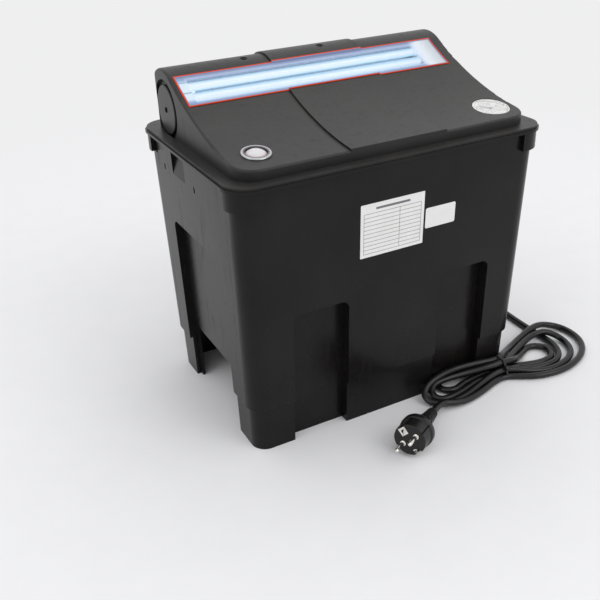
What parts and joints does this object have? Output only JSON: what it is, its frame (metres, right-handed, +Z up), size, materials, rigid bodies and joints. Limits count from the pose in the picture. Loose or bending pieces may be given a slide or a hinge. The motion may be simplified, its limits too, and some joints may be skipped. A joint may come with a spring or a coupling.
{
  "type": "box pond filter with lamp",
  "caption": "Box pond filter: drafted tank, sloped lid with a hump and a long lamp window, gauges, filter media, hose fittings and a coiled mains lead.",
  "frame": {"origin": "centre of the tank's footprint on the floor, on the lowest edge of the tank wall", "axes": "+X along the long front towards the thermometer's side, -Y out of the front, +Z up"},
  "size_m": [0.494, 0.4583, 0.392],
  "materials": {
    "tank_plastic": "fine moulded texture",
    "lid_plastic": "fine moulded texture",
    "smooth_black_plastic": "smooth",
    "grey_plastic": "satin",
    "black_rubber": "matt",
    "window_plastic": "clear",
    "bead_rubber": "satin",
    "reflector_sheet": "bright",
    "quartz_glass": "clear",
    "lamp_glass": "clear, lit",
    "lamp_ceramic": "matt white",
    "steel": "brushed",
    "chrome_trim": "polished",
    "gauge_glass": "clear",
    "float_plastic": "satin",
    "dial_face": "matt white",
    "pointer_plastic": "satin",
    "coarse_foam": "open-cell foam",
    "fine_foam": "open-cell foam",
    "ball_plastic": "satin",
    "label_film": "matt white",
    "cord_rubber": "satin",
    "brass_pins": "nickelled"
  },
  "bodies": {
    "tank": {"container": "tank_plastic", "lid_seal": "black_rubber", "outlet_fitting": "smooth_black_plastic", "outlet_gasket": "black_rubber", "outlet_lock_nut": "smooth_black_plastic", "drain_valve_body": "smooth_black_plastic", "drain_gasket": "black_rubber", "drain_lock_nut": "smooth_black_plastic", "support_grid": "grey_plastic", "foam_coarse": "coarse_foam", "foam_fine": "fine_foam", "core_tube_coarse": "grey_plastic", "core_tube_fine": "grey_plastic", "media_basket": "grey_plastic", "bio_balls": "ball_plastic", "spray_tray": "grey_plastic", "rating_label": "label_film", "small_label": "label_film", "cord_run": "cord_rubber", "cord_hank": "cord_rubber", "cord_tie": "smooth_black_plastic", "cord_lead": "cord_rubber", "plug_strain_relief": "cord_rubber", "plug_body": "cord_rubber", "plug_pins": "brass_pins", "plug_earth_contacts": "brass_pins"},
    "lid_unit": {"lid": "lid_plastic", "lamp_window": "window_plastic", "window_bead": "bead_rubber", "lamp_reflector": "reflector_sheet", "reflector_brackets": "grey_plastic", "ridge_screws": "steel", "quartz_sleeve": "quartz_glass", "sleeve_rest": "grey_plastic", "sleeve_o_ring": "black_rubber", "sleeve_holder": "smooth_black_plastic", "lamp_tubes": "lamp_glass", "lamp_base": "lamp_ceramic", "lamp_socket": "lamp_ceramic", "ballast": "grey_plastic", "indicator_ring": "chrome_trim", "indicator_dome": "gauge_glass", "indicator_nut": "smooth_black_plastic", "thermometer_case": "dial_face", "thermometer_dial": "dial_face", "thermometer_glass": "gauge_glass", "thermometer_stem": "steel", "inlet_stub": "smooth_black_plastic", "inlet_gasket": "black_rubber", "inlet_lock_nut": "smooth_black_plastic", "inlet_hose_tail": "smooth_black_plastic", "cable_gland": "smooth_black_plastic", "gland_nut": "smooth_black_plastic", "gland_strain_relief": "cord_rubber"},
    "cap": {"end_cap": "smooth_black_plastic", "end_cap_seal": "black_rubber"},
    "float": {"indicator_float": "float_plastic"},
    "pointer": {"thermometer_pointer": "pointer_plastic"},
    "nut": {"union_nut": "smooth_black_plastic"},
    "cock": {"drain_cock": "grey_plastic"}
  },
  "joints": [
    {"name": "lid_lift", "type": "slide", "parent": "tank", "child": "lid_unit", "axis": [0, 0, 1], "range_m": [0, 0.09]},
    {"name": "end_cap_turn", "type": "hinge", "parent": "lid_unit", "child": "cap", "pos_m": [-0.175, 0.072, 0.346], "axis": [-1, 0, 0], "range_deg": [0, 45]},
    {"name": "float_rise", "type": "slide", "parent": "lid_unit", "child": "float", "axis": [0, -0.1568, 0.9876], "range_m": [0, 0.005]},
    {"name": "pointer_turn", "type": "hinge", "parent": "lid_unit", "child": "pointer", "pos_m": [0.147, -0.086, 0.33388], "axis": [0, -0.1568, 0.9876], "range_deg": [-120, 40]},
    {"name": "union_nut_turn", "type": "hinge", "parent": "lid_unit", "child": "nut", "pos_m": [-0.095, 0.139, 0.345], "axis": [0, 1, 0], "continuous": true},
    {"name": "drain_turn", "type": "hinge", "parent": "tank", "child": "cock", "pos_m": [0.055, 0.14907, 0.1], "axis": [0, 0, 1], "range_deg": [0, 90]}
  ]
}
